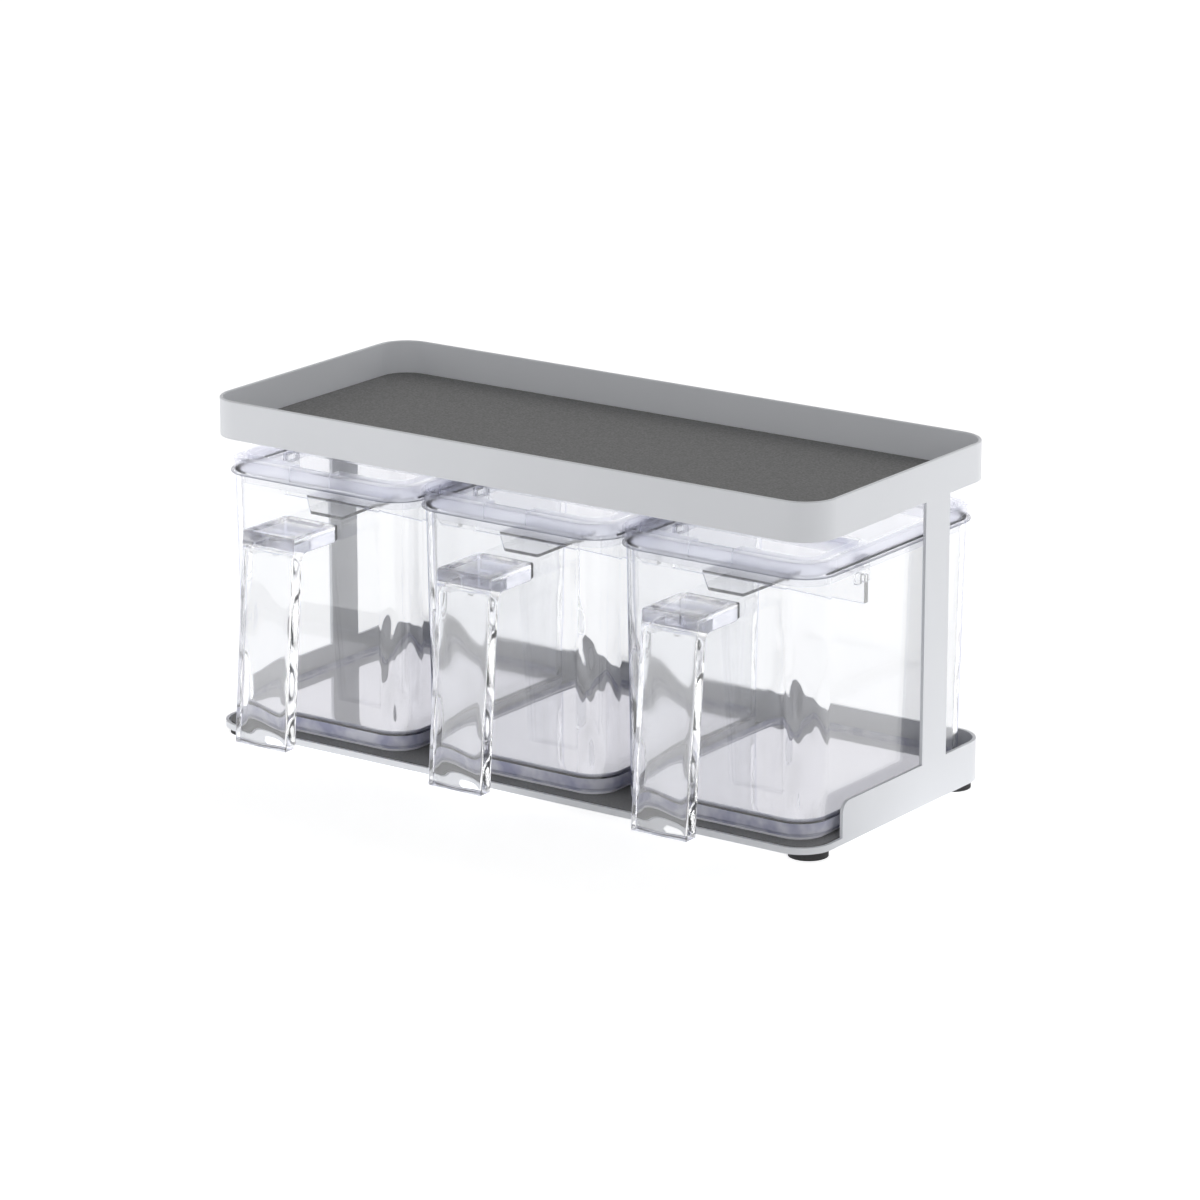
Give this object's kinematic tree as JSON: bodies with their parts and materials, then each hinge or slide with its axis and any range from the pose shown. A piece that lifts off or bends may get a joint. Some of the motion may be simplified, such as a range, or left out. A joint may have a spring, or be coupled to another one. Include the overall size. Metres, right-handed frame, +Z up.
{
  "type": "seasoning canister rack",
  "caption": "White steel rack with a tray on top and clear seasoning canisters below, each with a front handle and a milky lid with a flip-up flap.",
  "frame": {"origin": "on the table under the middle of the object's box, handles included", "axes": "+Z up, front towards -Y, canisters in a row along X"},
  "size_m": [0.26, 0.1416, 0.1263],
  "materials": {
    "white_steel": "satin powder coat",
    "grey_mat": "matt, fine grain",
    "black_rubber": "matt",
    "clear_plastic": "clear, polished",
    "milky_plastic": "translucent, satin"
  },
  "bodies": {
    "rack": {"base_tray": "white_steel", "top_tray": "white_steel", "post_left": "white_steel", "post_right": "white_steel", "base_mat": "grey_mat", "top_mat": "grey_mat", "foot_front_left": "black_rubber", "foot_front_right": "black_rubber", "foot_back_left": "black_rubber", "foot_back_right": "black_rubber"},
    "canister_left": {"canister_left": "clear_plastic", "handle_left": "clear_plastic", "lid_frame_left": "milky_plastic", "hinge_pin_left": "milky_plastic", "levelling_plate_left": "clear_plastic"},
    "flap_left": {"flip_lid_left": "milky_plastic"},
    "canister_middle": {"canister_middle": "clear_plastic", "handle_middle": "clear_plastic", "lid_frame_middle": "milky_plastic", "hinge_pin_middle": "milky_plastic", "levelling_plate_middle": "clear_plastic"},
    "flap_middle": {"flip_lid_middle": "milky_plastic"},
    "canister_right": {"canister_right": "clear_plastic", "handle_right": "clear_plastic", "lid_frame_right": "milky_plastic", "hinge_pin_right": "milky_plastic", "levelling_plate_right": "clear_plastic"},
    "flap_right": {"flip_lid_right": "milky_plastic"}
  },
  "joints": [
    {"name": "canister_slide_left", "type": "slide", "parent": "rack", "child": "canister_left", "axis": [0, -1, 0], "range_m": [0, 0.112]},
    {"name": "flap_hinge_left", "type": "hinge", "parent": "canister_left", "child": "flap_left", "pos_m": [-0.0858, -0.00343, 0.103], "axis": [-1, 0, 0], "range_deg": [0, 95]},
    {"name": "canister_slide_middle", "type": "slide", "parent": "rack", "child": "canister_middle", "axis": [0, -1, 0], "range_m": [0, 0.112]},
    {"name": "flap_hinge_middle", "type": "hinge", "parent": "canister_middle", "child": "flap_middle", "pos_m": [0, -0.00343, 0.103], "axis": [-1, 0, 0], "range_deg": [0, 95]},
    {"name": "canister_slide_right", "type": "slide", "parent": "rack", "child": "canister_right", "axis": [0, -1, 0], "range_m": [0, 0.112]},
    {"name": "flap_hinge_right", "type": "hinge", "parent": "canister_right", "child": "flap_right", "pos_m": [0.0858, -0.00343, 0.103], "axis": [-1, 0, 0], "range_deg": [0, 95]}
  ],
  "couplings": [
    {"joint": "flap_hinge_left", "follows": "canister_slide_left", "rad_per_m": 14.8},
    {"joint": "flap_hinge_middle", "follows": "canister_slide_middle", "rad_per_m": 14.8},
    {"joint": "flap_hinge_right", "follows": "canister_slide_right", "rad_per_m": 14.8}
  ]
}
